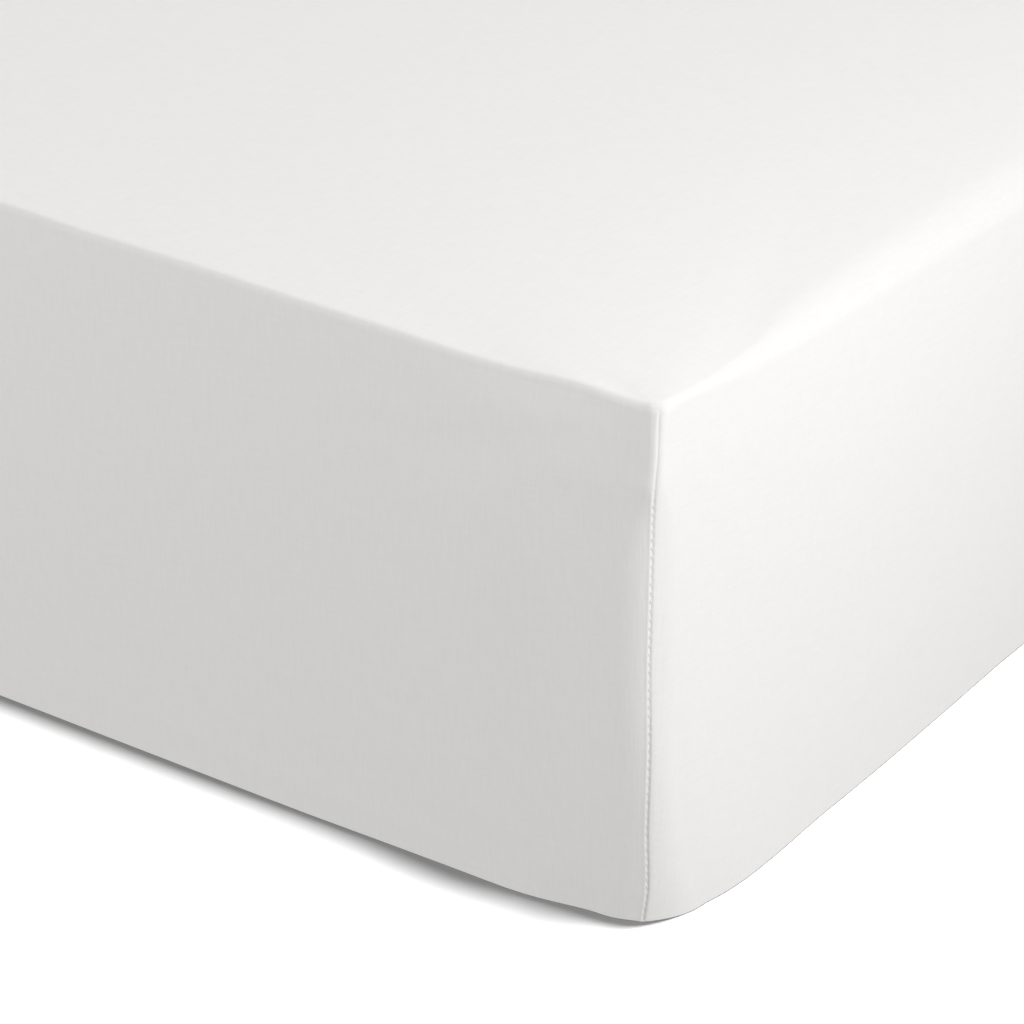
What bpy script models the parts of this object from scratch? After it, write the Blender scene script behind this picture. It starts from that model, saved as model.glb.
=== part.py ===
"""A fitted sheet on its plain mattress.

The sheet is one cloth: a flat top panel, four skirts joined by a seam down each corner, and a hem
that is drawn in under the mattress. It is modelled as one thin closed shell. The mattress is a plain
filled block inside it.

Metres, +Z up. X is the mattress's width and Y its length. The origin is on the floor, under the
middle. Sides are counted anticlockwise from above: foot (-Y), right (+X), head (+Y), left (-X), and
corner k lies between side k and side k + 1.
"""

import math
from collections import namedtuple

import bmesh
import bpy
from mathutils import Vector

# ---- driving sizes ----------------------------------------------------------------------------
WIDTH = 0.90
LENGTH = 2.00
HEIGHT = 0.2203
CLOTH = 0.0015  # thickness of the sheet
CROWN = 0.005  # how far the middle of the top stands above its edges
CROWN_POWER = 6  # the higher, the flatter the middle of the top
BELLY = 0.005  # how far a long side stands out at its middle
END_BELLY = 0.003  # the same at the foot and the head
TUCK = 0.11  # width of cloth drawn in flat under the mattress
HEEL = 0.002  # round of the bottom edge

# ---- corners ----------------------------------------------------------------------------------
CORNER_SPREAD = 0.5  # plan radius gained for each metre inside the top edge
HEM_SPREAD = 1.0  # the same under the mattress, where the hem cuts across the corner
WELT_HALF = 0.0024  # half the width of the corner seam's raised fold
EAR_SHARE = 0.14  # share of the wall, from the top, where the fold stands up as an ear
EAR_PROUD = 0.0012
WELT_PROUD = 0.0005

# ---- clearances between the mattress and the cloth ---------------------------------------------
FACE_GAP = 0.0008  # under the top panel
EDGE_GAP = 0.0020  # at the edges and walls, which the drawn cloth clears
LEAST_ROUND = 0.0015  # round that is left to the top edge of an inner face

# ---- mesh steps -------------------------------------------------------------------------------
# Distances from a corner of the upright columns, and rows down the profile.
SHEET_COLUMNS = {"end": (0.012, 0.026, 0.045, 0.070, 0.11, 0.17, 0.26, 0.45),
                 "side": (0.012, 0.030, 0.060, 0.10, 0.16, 0.25, 0.45, 1.00)}
BLOCK_COLUMNS = {"end": (0.035, 0.075, 0.13, 0.24, 0.45),
                 "side": (0.035, 0.075, 0.13, 0.24, 0.40, 0.70, 1.00)}
SHEET_ARC = 5  # steps from the straight to the seam
BLOCK_ARC = 2
CROWN_FADE = 0.16  # width over which an edge's rise or fall dies out on the top
SWELL_START = 0.06  # share of the wall, from the top, over which the swells come in

Edge = namedtuple("Edge", "along rise roll_in roll_down out")
Swell = namedtuple("Swell", "side along height half_along half_high proud")
Taper = namedtuple("Taper", "share radius lean")
Station = namedtuple("Station", "side along turn seam")
Row = namedtuple("Row", "zone at")

# Shape of the top edge along each side, from its first corner to its second: how far it rises or
# sags, the width and depth of its rounding, and how far the bottom edge stands out below it.
EDGES = (
    (  # foot: pulled tight and crisp, sagging a little near its second corner
        Edge(0.00, 0.0000, 0.0030, 0.0030, -0.0060),
        Edge(0.04, -0.0008, 0.0030, 0.0030, -0.0030),
        Edge(0.22, 0.0012, 0.0030, 0.0030, -0.0016),
        Edge(0.45, 0.0034, 0.0030, 0.0030, -0.0016),
        Edge(0.60, 0.0036, 0.0030, 0.0030, -0.0026),
        Edge(0.64, 0.0022, 0.0030, 0.0030, -0.0028),
        Edge(0.72, 0.0011, 0.0030, 0.0030, -0.0030),
        Edge(0.76, 0.0003, 0.0030, 0.0030, -0.0032),
        Edge(0.79, -0.0003, 0.0030, 0.0030, -0.0039),
        Edge(0.83, -0.0012, 0.0030, 0.0030, -0.0045),
        Edge(0.863, 0.0006, 0.0030, 0.0030, -0.0049),
        Edge(0.886, -0.0003, 0.0030, 0.0030, -0.0088),
        Edge(0.90, 0.0000, 0.0030, 0.0030, -0.0106),
    ),
    (  # right: sharp by the first corner, then softening into a wide round
        Edge(0.00, 0.0000, 0.0030, 0.0030, -0.0016),
        Edge(0.012, -0.0011, 0.0034, 0.0034, 0.0003),
        Edge(0.03, -0.0028, 0.0040, 0.0040, 0.0011),
        Edge(0.06, -0.0030, 0.0060, 0.0060, 0.0008),
        Edge(0.10, -0.0014, 0.0120, 0.0080, -0.0005),
        Edge(0.14, -0.0007, 0.0140, 0.0090, -0.0015),
        Edge(0.19, 0.0000, 0.0160, 0.0100, -0.0033),
        Edge(0.25, 0.0001, 0.0170, 0.0110, -0.0056),
        Edge(0.40, -0.0001, 0.0190, 0.0120, -0.0052),
        Edge(1.00, -0.0003, 0.0210, 0.0130, -0.0016),
        Edge(1.60, 0.0001, 0.0190, 0.0120, -0.0011),
        Edge(1.82, 0.0003, 0.0156, 0.0098, -0.0001),
        Edge(1.95, -0.0016, 0.0053, 0.0053, -0.0021),
        Edge(2.00, 0.0000, 0.0030, 0.0030, -0.0056),
    ),
    (  # head
        Edge(0.00, 0.0000, 0.0030, 0.0030, -0.0050),
        Edge(0.08, -0.0012, 0.0030, 0.0030, -0.0025),
        Edge(0.24, 0.0010, 0.0030, 0.0030, -0.0016),
        Edge(0.45, 0.0028, 0.0040, 0.0040, -0.0010),
        Edge(0.68, 0.0012, 0.0030, 0.0030, -0.0016),
        Edge(0.83, -0.0010, 0.0030, 0.0030, -0.0035),
        Edge(0.90, 0.0000, 0.0030, 0.0030, -0.0080),
    ),
    (  # left
        Edge(0.00, 0.0000, 0.0030, 0.0030, -0.0026),
        Edge(0.06, -0.0022, 0.0060, 0.0060, 0.0004),
        Edge(0.18, 0.0001, 0.0156, 0.0098, -0.0006),
        Edge(0.42, 0.0000, 0.0191, 0.0120, -0.0036),
        Edge(1.00, -0.0005, 0.0210, 0.0130, -0.0016),
        Edge(1.58, 0.0000, 0.0191, 0.0120, -0.0011),
        Edge(1.80, 0.0003, 0.0162, 0.0102, -0.0001),
        Edge(1.94, -0.0016, 0.0090, 0.0060, -0.0011),
        Edge(2.00, 0.0000, 0.0030, 0.0030, -0.0046),
    ),
)

# Broad soft swells and hollows of the skirts, as an upright oval each.
SWELLS = (
    Swell(0, 0.842, 0.150, 0.042, 0.085, 0.0034),
    Swell(0, 0.70, 0.120, 0.100, 0.070, 0.0008),
    Swell(0, 0.55, 0.120, 0.120, 0.070, 0.0010),
    Swell(0, 0.24, 0.110, 0.140, 0.070, -0.0008),
    Swell(1, 0.12, 0.150, 0.070, 0.050, 0.0014),
    Swell(1, 0.36, 0.090, 0.110, 0.060, -0.0012),
    Swell(1, 0.78, 0.120, 0.200, 0.070, 0.0010),
    Swell(1, 1.35, 0.110, 0.210, 0.070, -0.0010),
    Swell(1, 1.84, 0.140, 0.080, 0.050, 0.0010),
    Swell(2, 0.12, 0.130, 0.080, 0.060, -0.0012),
    Swell(2, 0.52, 0.110, 0.150, 0.070, 0.0010),
    Swell(3, 0.16, 0.140, 0.090, 0.050, 0.0012),
    Swell(3, 0.66, 0.110, 0.180, 0.070, -0.0012),
    Swell(3, 1.25, 0.120, 0.200, 0.070, 0.0010),
    Swell(3, 1.80, 0.130, 0.090, 0.060, -0.0010),
)

# A corner down its wall, boxed at the top and drawn in round at the floor: its plan radius, and how
# far the seam leans off the corner's middle, towards the side before.
CORNER_TAPER = (
    Taper(0.00, 0.0076, 0.0000),
    Taper(0.14, 0.0080, 0.0001),
    Taper(0.22, 0.0086, 0.0017),
    Taper(0.35, 0.0094, 0.0019),
    Taper(0.50, 0.0112, 0.0025),
    Taper(0.70, 0.0142, 0.0034),
    Taper(0.80, 0.0165, 0.0039),
    Taper(0.92, 0.0215, 0.0045),
    Taper(1.00, 0.0292, 0.0054),
)
TOP_CORNER = EDGES[0][0]  # the top edge's rounding is the same at every corner
TOP_RADIUS = CORNER_TAPER[0].radius - TOP_CORNER.roll_in  # plan radius inside that rounding

SHEET_ROWS = (
    [Row("crown", at) for at in (0.22, 0.10, 0.04, 0.012)]
    + [Row("roll", math.radians(at)) for at in (0, 30, 60, 90)]
    + [Row("wall", at) for at in (0.06, 0.14, 0.35, 0.60, 0.80, 0.92, 1.0)]
    + [Row("heel", math.radians(at)) for at in (45, 90)]
    + [Row("band", at) for at in (0.035, TUCK - HEEL)]
)
BLOCK_ROWS = (
    [Row("crown", at) for at in (0.20, 0.08, 0.02)]
    + [Row("roll", math.radians(at)) for at in (0, 30, 60, 90)]
    + [Row("wall", at) for at in (0.35, 0.70, 0.90, 1.0)]
)


# ---- reading the tables ------------------------------------------------------------------------
def side_length(side):
    """Length of a side, corner to corner."""
    return WIDTH if side % 2 == 0 else LENGTH


def eased(rows, at, names):
    """Values of the named columns at a place, on smooth curves through the table's rows."""
    places = [row[0] for row in rows]
    last = max(i for i in range(len(rows) - 1) if places[i] <= at or i == 0)
    span = places[last + 1] - places[last]
    t = min(max((at - places[last]) / span, 0.0), 1.0)

    def slope(i, name):
        lo, hi = max(i - 1, 0), min(i + 1, len(rows) - 1)
        return (getattr(rows[hi], name) - getattr(rows[lo], name)) / (places[hi] - places[lo])

    values = []
    for name in names:
        start, end = getattr(rows[last], name), getattr(rows[last + 1], name)
        leave, arrive = slope(last, name) * span, slope(last + 1, name) * span
        values.append((2 * t**3 - 3 * t**2 + 1) * start + (t**3 - 2 * t**2 + t) * leave
                      + (3 * t**2 - 2 * t**3) * end + (t**3 - t**2) * arrive)
    return values


def edge_at(side, along, skin):
    """The top edge at a place along a side, `skin` inside the cloth's outer face.

    An inner face keeps a round of its own, so that it doesn't fold over at a crisp edge.
    """
    rise, roll_in, roll_down, out = eased(EDGES[side], along, Edge._fields[1:])
    least = skin + LEAST_ROUND if skin else 0.0
    return Edge(along, rise, max(roll_in, least), max(roll_down, least), out)


def taper_at(share):
    """Plan radius and lean of the corners at a share of the wall's height, from its top."""
    return Taper(share, *eased(CORNER_TAPER, share, ("radius", "lean")))


def swell_at(side, along, height):
    """How far the broad swells push a skirt out at a place and height."""
    total = 0.0
    for swell in SWELLS:
        if swell.side == side:
            across = (along - swell.along) / swell.half_along
            up = (height - swell.height) / swell.half_high
            total += swell.proud * math.exp(-across * across - up * up)
    return total


def belly_at(side, along, share):
    """How far a skirt's middle stands out at a place and a share of the wall's height."""
    middle = 2 * along / side_length(side) - 1
    full = END_BELLY if side % 2 == 0 else BELLY
    return full * (1 - middle**4) * 4 * share * (1 - share)


# ---- the cloth's surface ------------------------------------------------------------------------
def wall_height(edge, share):
    """Height of the wall under a top edge, a share of the way down to the heel."""
    return HEEL + (HEIGHT + edge.rise - edge.roll_down - HEEL) * (1 - share)


def inset_at(side, along, row, skin):
    """How far a row of the outer face lies inside the full size at a place along a side."""
    edge = edge_at(side, along, skin)
    if row.zone == "crown":
        return edge.roll_in + row.at
    if row.zone == "roll":
        return edge.roll_in * (1 - math.sin(row.at))
    if row.zone == "wall":
        swell = swell_at(side, along, wall_height(edge, row.at))
        swell *= 1 - max(0.0, 1 - row.at / SWELL_START) ** 2
        return -belly_at(side, along, row.at) - swell - edge.out * row.at**2
    if row.zone == "heel":
        return HEEL * (1 - math.cos(row.at)) - swell_at(side, along, 0.0) - edge.out
    return HEEL + row.at - edge.out * max(0.0, 1 - row.at / CROWN_FADE)


def corner_angle(station, radius, lean, even):
    """Angle of a corner's station from its first side's outward way.

    Near the seam, columns keep their distance from it, unless `even` spreads them out.
    """
    half = math.pi / 4
    angle = station.turn * math.pi / 2 - half
    if station.seam is not None and not even:
        angle = math.copysign(min(abs(station.seam) / radius, abs(angle)), station.seam)
    return half + angle - lean / radius * (1 - abs(angle) / half)


def plan_point(station, row, radius, lean, even, skin, reach):
    """Plan position of a station on a row, `reach` inside the outer face, and its outward way.

    A corner lies where its two sides' own insets bring it, so the outline stays closed.
    """
    k = station.side
    ahead = Vector((math.cos(k * math.pi / 2), math.sin(k * math.pi / 2)))
    out = Vector((ahead.y, -ahead.x))
    length = side_length(k)
    own = inset_at(k, station.along, row, skin) + reach
    after = inset_at((k + 1) % 4, 0.0, row, skin) + reach
    before = inset_at((k - 1) % 4, side_length(k - 1), row, skin) + reach
    radius -= reach
    half_out = side_length(k + 1) / 2 - own
    start, end = length / 2 - before - radius, length / 2 - after - radius
    if station.turn is None:
        return out * half_out + ahead * (station.along / length * (start + end) - start), out
    angle = corner_angle(station, radius, lean, even)
    way = out * math.cos(angle) + ahead * math.sin(angle)
    return out * (half_out - radius) + ahead * end + way * radius, way


def crown_height(x, y):
    """Height of the top panel over the floor, before its edges' rise or sag."""
    across, along = abs(2 * x / WIDTH) ** CROWN_POWER, abs(2 * y / LENGTH) ** CROWN_POWER
    return HEIGHT + CROWN * (1 - across) * (1 - along)


def surface_point(station, row, skin):
    """A point `skin` inside the cloth's outer face, at a station round it and a row down it."""
    edge = edge_at(station.side, station.along, skin)
    foot = CORNER_TAPER[-1]
    lean = proud = 0.0
    even = row.zone in ("crown", "band")
    if row.zone == "crown":
        tilt = 0.0
        radius = TOP_RADIUS + CORNER_SPREAD * row.at
        place, _ = plan_point(station, row, radius, lean, even, skin, 0.0)
        fade = max(0.0, 1 - row.at / CROWN_FADE) ** 2
        height = crown_height(place.x, place.y) + edge.rise * fade
    elif row.zone == "roll":
        tilt = row.at
        radius = TOP_RADIUS + TOP_CORNER.roll_in * math.sin(row.at)
        place, _ = plan_point(station, Row("crown", 0.0), TOP_RADIUS, lean, True, skin, 0.0)
        drop = edge.roll_down * (1 - math.cos(row.at))
        height = crown_height(place.x, place.y) + edge.rise - drop
        proud = EAR_PROUD * math.sin(row.at)
    elif row.zone == "wall":
        tilt = math.pi / 2
        height = wall_height(edge, row.at)
        _, radius, lean = taper_at(row.at)
        proud = EAR_PROUD if row.at <= EAR_SHARE else WELT_PROUD
    elif row.zone == "heel":
        tilt = math.pi / 2 + row.at
        height = HEEL * (1 - math.sin(row.at))
        radius, lean = foot.radius - HEEL * (1 - math.cos(row.at)), foot.lean
        proud = WELT_PROUD * math.cos(row.at)
    else:
        tilt = math.pi
        height = 0.0
        radius, lean = foot.radius - HEEL + HEM_SPREAD * row.at, foot.lean
    place, way = plan_point(station, row, radius, lean, even, skin, skin * math.sin(tilt))
    if station.seam == 0 and skin == 0:
        place = place + way * proud
    return Vector((place.x, place.y, height - skin * math.cos(tilt)))


# ---- meshes -------------------------------------------------------------------------------------
def stations(columns, arc, welted):
    """The columns round the part: each side's straight run, then the corner at its end."""
    found = []
    for side in range(4):
        length = side_length(side)
        near = columns["end" if side % 2 == 0 else "side"]
        run = sorted(set(near) | {length - at for at in near})
        found += [Station(side, at, None, None) for at in run]
        for step in range(2 * arc + 1):
            away = step - arc
            seam = away * WELT_HALF / 2 if welted and abs(away) <= 2 else None
            found.append(Station(side, length, step / (2 * arc), seam))
    return found


def ring(bm, columns, row, skin):
    """One ring of vertices round the part."""
    return [bm.verts.new(surface_point(station, row, skin)) for station in columns]


def join_rings(bm, upper, lower):
    """Faces between two rings of the same columns, facing outwards."""
    for i in range(len(upper)):
        j = (i + 1) % len(upper)
        bm.faces.new((upper[i], lower[i], lower[j], upper[j]))


def fill_top(bm, columns, loop, skin):
    """Fill the innermost ring with a grid that follows the crown, its corners on the seams."""
    total = len(loop)
    seams = [i for i, station in enumerate(columns) if station.turn == 0.5]
    south = [loop[(seams[3] + i) % total] for i in range((seams[0] - seams[3]) % total + 1)]
    east = [loop[seams[0] + i] for i in range(seams[1] - seams[0] + 1)]
    north = [loop[seams[2] - i] for i in range(seams[2] - seams[1] + 1)]
    west = [loop[seams[3] - i] for i in range(seams[3] - seams[2] + 1)]
    wide, long = len(south) - 1, len(east) - 1
    grid = [[None] * (long + 1) for _ in range(wide + 1)]
    for i in range(wide + 1):
        for j in range(long + 1):
            if j in (0, long):
                grid[i][j] = (south if j == 0 else north)[i]
            elif i in (0, wide):
                grid[i][j] = (west if i == 0 else east)[j]
            else:
                u, v = i / wide, j / long
                place = (west[j].co * (1 - u) + east[j].co * u
                         + south[i].co * (1 - v) + north[i].co * v
                         - south[0].co * (1 - u) * (1 - v) - south[wide].co * u * (1 - v)
                         - north[0].co * (1 - u) * v - north[wide].co * u * v)
                place.z = crown_height(place.x, place.y) - skin
                grid[i][j] = bm.verts.new(place)
    for i in range(wide):
        for j in range(long):
            bm.faces.new((grid[i][j], grid[i + 1][j], grid[i + 1][j + 1], grid[i][j + 1]))


def skin_surface(bm, columns, rows, skin_at):
    """One face of the cloth or block, from the crown down; returns its last ring."""
    rings = [ring(bm, columns, row, skin_at(row)) for row in rows]
    fill_top(bm, columns, rings[0], skin_at(rows[0]))
    for upper, lower in zip(rings, rings[1:]):
        join_rings(bm, upper, lower)
    return rings[-1]


def fabric(name, colour, roughness):
    """A plain Principled cloth finish."""
    material = bpy.data.materials.new(name)
    material.use_nodes = True
    shader = material.node_tree.nodes["Principled BSDF"]
    shader.inputs["Base Color"].default_value = (*colour, 1.0)
    shader.inputs["Roughness"].default_value = roughness
    shader.inputs["Metallic"].default_value = 0.0
    return material


def finished(name, bm, material, sharp_degrees):
    """Turn a bmesh into a smooth-shaded object with its material."""
    bmesh.ops.recalc_face_normals(bm, faces=bm.faces)
    mesh = bpy.data.meshes.new(name)
    bm.to_mesh(mesh)
    bm.free()
    mesh.shade_smooth()
    mesh.set_sharp_from_angle(angle=math.radians(sharp_degrees))
    mesh.materials.append(material)
    part = bpy.data.objects.new(name, mesh)
    bpy.context.scene.collection.objects.link(part)
    return part


def fitted_sheet():
    """The sheet: outer and inner faces a cloth's thickness apart, closed along the hem."""
    columns = stations(SHEET_COLUMNS, SHEET_ARC, welted=True)
    bm = bmesh.new()
    outer = skin_surface(bm, columns, SHEET_ROWS, lambda row: 0.0)
    inner = skin_surface(bm, columns, SHEET_ROWS, lambda row: CLOTH)
    join_rings(bm, outer, inner)
    return finished("fitted_sheet", bm, fabric("white_cotton", (0.86, 0.85, 0.84), 0.75), 50)


def mattress():
    """The mattress: a plain block inside the cloth, flat below, just over the tucked band."""

    def skin_at(row):
        if row.zone == "crown" and row.at > CROWN_FADE:
            return CLOTH + FACE_GAP
        return CLOTH + EDGE_GAP

    columns = stations(BLOCK_COLUMNS, BLOCK_ARC, welted=False)
    bm = bmesh.new()
    below = skin_surface(bm, columns, BLOCK_ROWS, skin_at)
    bm.faces.new(below)
    return finished("mattress", bm, fabric("ticking", (0.78, 0.77, 0.74), 0.85), 50)


def main():
    """Clear the scene and build both parts."""
    for old in list(bpy.data.objects):
        bpy.data.objects.remove(old)
    mattress()
    fitted_sheet()


main()
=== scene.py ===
"""Looks of a white cotton fitted sheet drawn over its mattress.

The sheet is one cloth with a boxed corner seam down each corner and its hem tucked in below. The
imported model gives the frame: metres, +Z up, X across the mattress, Y along it. Sides are counted
anticlockwise from above: foot (-Y), right (+X), head (+Y), left (-X). Corner k lies between sides k
and k + 1.
"""

import logging
import math
from dataclasses import dataclass, field
from enum import Enum
from typing import Any, Callable, NamedTuple, Sequence

import bpy
import numpy as np
from bpy.types import Material, Node, NodeSocket, NodeTree, Object
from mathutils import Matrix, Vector


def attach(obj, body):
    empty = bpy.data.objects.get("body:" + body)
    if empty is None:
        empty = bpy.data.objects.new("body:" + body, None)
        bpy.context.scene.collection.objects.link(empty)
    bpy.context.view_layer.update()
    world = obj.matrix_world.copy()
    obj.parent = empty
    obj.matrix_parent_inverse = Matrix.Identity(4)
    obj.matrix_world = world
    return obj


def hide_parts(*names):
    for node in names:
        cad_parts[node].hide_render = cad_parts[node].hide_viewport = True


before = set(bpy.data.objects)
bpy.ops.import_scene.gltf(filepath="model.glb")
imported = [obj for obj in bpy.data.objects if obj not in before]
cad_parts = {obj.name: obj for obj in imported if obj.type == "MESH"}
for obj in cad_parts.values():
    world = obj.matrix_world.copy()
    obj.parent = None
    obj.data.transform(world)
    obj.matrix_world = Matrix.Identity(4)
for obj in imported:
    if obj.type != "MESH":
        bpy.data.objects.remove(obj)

LOG = logging.getLogger("fitted_sheet")
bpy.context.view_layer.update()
IMAGE_SIDE = 1024  # pixels along each side of the picture
Array = np.ndarray
Colour = tuple[float, float, float]


# ---- common helpers ----
def smooth_step(t: Array) -> Array:
    """An eased step: 0 up to t = 0, 1 from t = 1."""
    t = np.clip(t, 0.0, 1.0)
    return t * t * (3 - 2 * t)


def side_ways(side: Any) -> tuple[Array, Array]:
    """Unit ways along and out of each side, in plan."""
    angle = side * math.pi / 2
    ahead = np.stack([np.cos(angle), np.sin(angle)], -1)
    return ahead, np.stack([ahead[..., 1], -ahead[..., 0]], -1)


def add_object(name: str, data: Any) -> Object:
    """Make an object and link it to the scene."""
    thing = bpy.data.objects.new(name, data)
    bpy.context.scene.collection.objects.link(thing)
    return thing


def aim(thing: Object, way: Vector) -> None:
    """Turn a light or a camera to look along a direction."""
    thing.rotation_euler = way.to_track_quat("-Z", "Y").to_euler()


# ---- nodes ----
def operator(operation: str, swapped: bool = False) -> Callable[["Wire", Any], "Wire"]:
    """Make an operator of one Math node.

    Args:
        operation: the node's operation.
        swapped: whether the other value comes first, as in a reflected form.

    Returns:
        The operator, as a method of Wire.
    """

    def method(self: "Wire", other: Any) -> "Wire":
        """Put the node on the board."""
        values = (other, self) if swapped else (self, other)
        return self.board.add("ShaderNodeMath", {"operation": operation}, dict(enumerate(values)))

    return method


@dataclass(frozen=True)
class Wire:
    """A node's output socket that can be used in an expression on its board."""

    board: "Board"
    socket: NodeSocket

    __add__ = __radd__ = operator("ADD")
    __mul__ = __rmul__ = operator("MULTIPLY")
    __sub__, __rsub__ = operator("SUBTRACT"), operator("SUBTRACT", swapped=True)
    __truediv__, __rtruediv__ = operator("DIVIDE"), operator("DIVIDE", swapped=True)

    def sine(self) -> "Wire":
        """Sine of self, in radians."""
        return self.board.add("ShaderNodeMath", {"operation": "SINE"}, {0: self})

    def clamped(self) -> "Wire":
        """Self held between 0 and 1."""
        return self.board.add("ShaderNodeClamp", {}, {"Value": self})


@dataclass(frozen=True)
class Board:
    """A node tree, and the one way in which nodes are put on it."""

    tree: NodeTree

    def add(self, kind: str, settings: dict[str, Any], inputs: dict[Any, Any],
            out: Any = 0) -> Wire:
        """Put a node on the board.

        Args:
            kind: the node's type name.
            settings: its properties, set before the inputs.
            inputs: socket name or number to a value or a Wire.
            out: name or number of the output that is returned.

        Returns:
            The output as a Wire.
        """
        node = self.tree.nodes.new(kind)
        for name, value in settings.items():
            setattr(node, name, value)
        self.feed(node, inputs)
        return Wire(self, self._socket(node.outputs, out))

    def feed(self, node: Node, inputs: dict[Any, Any]) -> None:
        """Set or link a node's inputs, given by socket name or number."""
        for name, value in inputs.items():
            socket = self._socket(node.inputs, name)
            if isinstance(value, Wire):
                self.tree.links.new(value.socket, socket)
            else:
                socket.default_value = value

    @staticmethod
    def _socket(sockets: Any, name: Any) -> NodeSocket:
        """The socket of a number, an identifier or a name."""
        if isinstance(name, int):
            return sockets[name]
        return next((found for found in sockets if found.identifier == name), None) or sockets[name]


def new_material(name: str) -> tuple[Material, Board, Node]:
    """Make a material; returns it with its board and its Principled node."""
    material = bpy.data.materials.new(name)
    material.use_nodes = True
    tree = material.node_tree
    return material, Board(tree), tree.nodes["Principled BSDF"]


def tinted(board: Board, share: Wire, colour: Colour, depth: float) -> Wire:
    """A colour that gets darker by up to `depth` as `share` goes from 0 to 1."""
    dark = (*(c * (1 - depth) for c in colour), 1.0)
    ends = {6: (*colour, 1.0), 7: dark}
    return board.add("ShaderNodeMix", {"data_type": "RGBA"}, {0: share, **ends}, 2)


# ---- finishes ----
@dataclass(frozen=True)
class WovenFinish:
    """A plain-woven cloth: crossing threads with slubs, matt with a little sheen."""

    name: str
    colour: Colour
    thread: float = 0.00034  # spacing of the threads
    slub_length: float = 0.012
    slub_width: float = 0.0013
    cross_share: float = 0.65  # strength of the slubs that lie across
    weave_height: float = 0.000003
    slub_height: float = 0.00007
    roughness: float = 0.82
    rough_spread: float = 0.1  # how much the slubs change it
    sheen: float = 0.08
    sheen_roughness: float = 0.4
    specular: float = 0.1
    tint_depth: float = 0.035

    def build(self) -> Material:
        """Make the material; it reads the piece's own cloth map, in metres."""
        material, board, shader = new_material(self.name)
        spot = board.add("ShaderNodeUVMap", {"uv_map": "cloth"}, {})
        turn = 2 * math.pi / self.thread
        warp, weft = ((board.add("ShaderNodeSeparateXYZ", {}, {"Vector": spot}, axis) * turn).sine()
                      for axis in "XY")
        across = self._slubs(board, spot, (self.slub_length, self.slub_width))
        along = self._slubs(board, spot, (self.slub_width, self.slub_length))
        slubs = along + (across - 0.5) * self.cross_share
        height = warp * weft * self.weave_height + slubs * self.slub_height
        board.feed(shader, {
            "Base Color": tinted(board, slubs.clamped(), self.colour, self.tint_depth),
            "Roughness": slubs * self.rough_spread + (self.roughness - self.rough_spread / 2),
            "Normal": board.add("ShaderNodeBump", {}, {"Height": height, "Distance": 1.0}),
            "Sheen Weight": self.sheen,
            "Sheen Roughness": self.sheen_roughness,
            "Specular IOR Level": self.specular,
        })
        return material

    @staticmethod
    def _slubs(board: Board, spot: Wire, grain: tuple[float, float]) -> Wire:
        """Noise about 0.5, drawn out to a grain of a size across and along the cloth map."""
        scaled = board.add("ShaderNodeVectorMath", {"operation": "MULTIPLY"},
                           {0: spot, 1: (1 / grain[0], 1 / grain[1], 1.0)})
        return board.add("ShaderNodeTexNoise", {"noise_dimensions": "2D"},
                         {"Vector": scaled, "Scale": 1.0, "Detail": 1.0, "Roughness": 0.5})


@dataclass(frozen=True)
class ThreadFinish:
    """Twisted sewing thread, white, with a low sheen."""

    name: str
    colour: Colour
    twist: float = 0.0003
    twist_height: float = 0.00001
    tint_depth: float = 0.1
    roughness: float = 0.6

    def build(self) -> Material:
        """Make the material on Object coordinates."""
        material, board, shader = new_material(self.name)
        spot = board.add("ShaderNodeTexCoord", {}, {}, "Object")
        noise = board.add("ShaderNodeTexNoise", {},
                          {"Vector": spot, "Scale": 1 / self.twist, "Detail": 1.0})
        height = noise * self.twist_height
        board.feed(shader, {
            "Base Color": tinted(board, noise, self.colour, self.tint_depth),
            "Normal": board.add("ShaderNodeBump", {}, {"Height": height, "Distance": 1.0}),
            "Roughness": self.roughness,
        })
        return material


@dataclass(frozen=True)
class FloorFinish:
    """The plain pale floor, matt."""

    name: str
    level: float

    def build(self) -> Material:
        """Make the material."""
        material, board, shader = new_material(self.name)
        board.feed(shader, {"Base Color": (self.level, self.level, self.level, 1.0),
                            "Roughness": 1.0, "Specular IOR Level": 0.0})
        return material


COTTON = WovenFinish("white_cotton", (0.905, 0.897, 0.880))
TICKING = WovenFinish(
    "ticking", (0.80, 0.785, 0.75), thread=0.0012, slub_length=0.006, slub_width=0.002,
    weave_height=0.00005, slub_height=0.0001, roughness=0.9, sheen=0.05, tint_depth=0.12,
)
SEWING_THREAD = ThreadFinish("sewing_thread", (0.93, 0.925, 0.915))
FLOOR = FloorFinish("studio_floor", 0.29)


# ---- the cloth's shape ----
class Edge(NamedTuple):
    """The top edge at a place along a side: rise, how far its foot stands out, and rounding."""

    along: float
    rise: float
    out: float
    roll_in: float = 0.003
    roll_down: float = 0.003


class Swell(NamedTuple):
    """A broad soft swell or hollow of a skirt, as an upright oval."""

    side: int
    along: float
    height: float
    half_along: float
    half_high: float
    proud: float


class Taper(NamedTuple):
    """A corner at a share of the wall's height from its top: plan radius, and the seam's lean."""

    share: float
    radius: float
    lean: float


class Crease(NamedTuple):
    """A drawn line of the cloth between two places of one side; `bow` bends it."""

    side: int
    along: float
    height: float
    to_along: float
    to_height: float
    bow: float
    half_width: float
    proud: float


class Zone(Enum):
    """Stretches of the cloth's profile, from the middle of the top to the hem."""

    CROWN = "crown"
    ROLL = "roll"
    WALL = "wall"
    HEEL = "heel"
    BAND = "band"
    HEM = "hem"


class Row(NamedTuple):
    """One ring round the cloth: its zone, and its place there."""

    zone: Zone
    at: float


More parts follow.
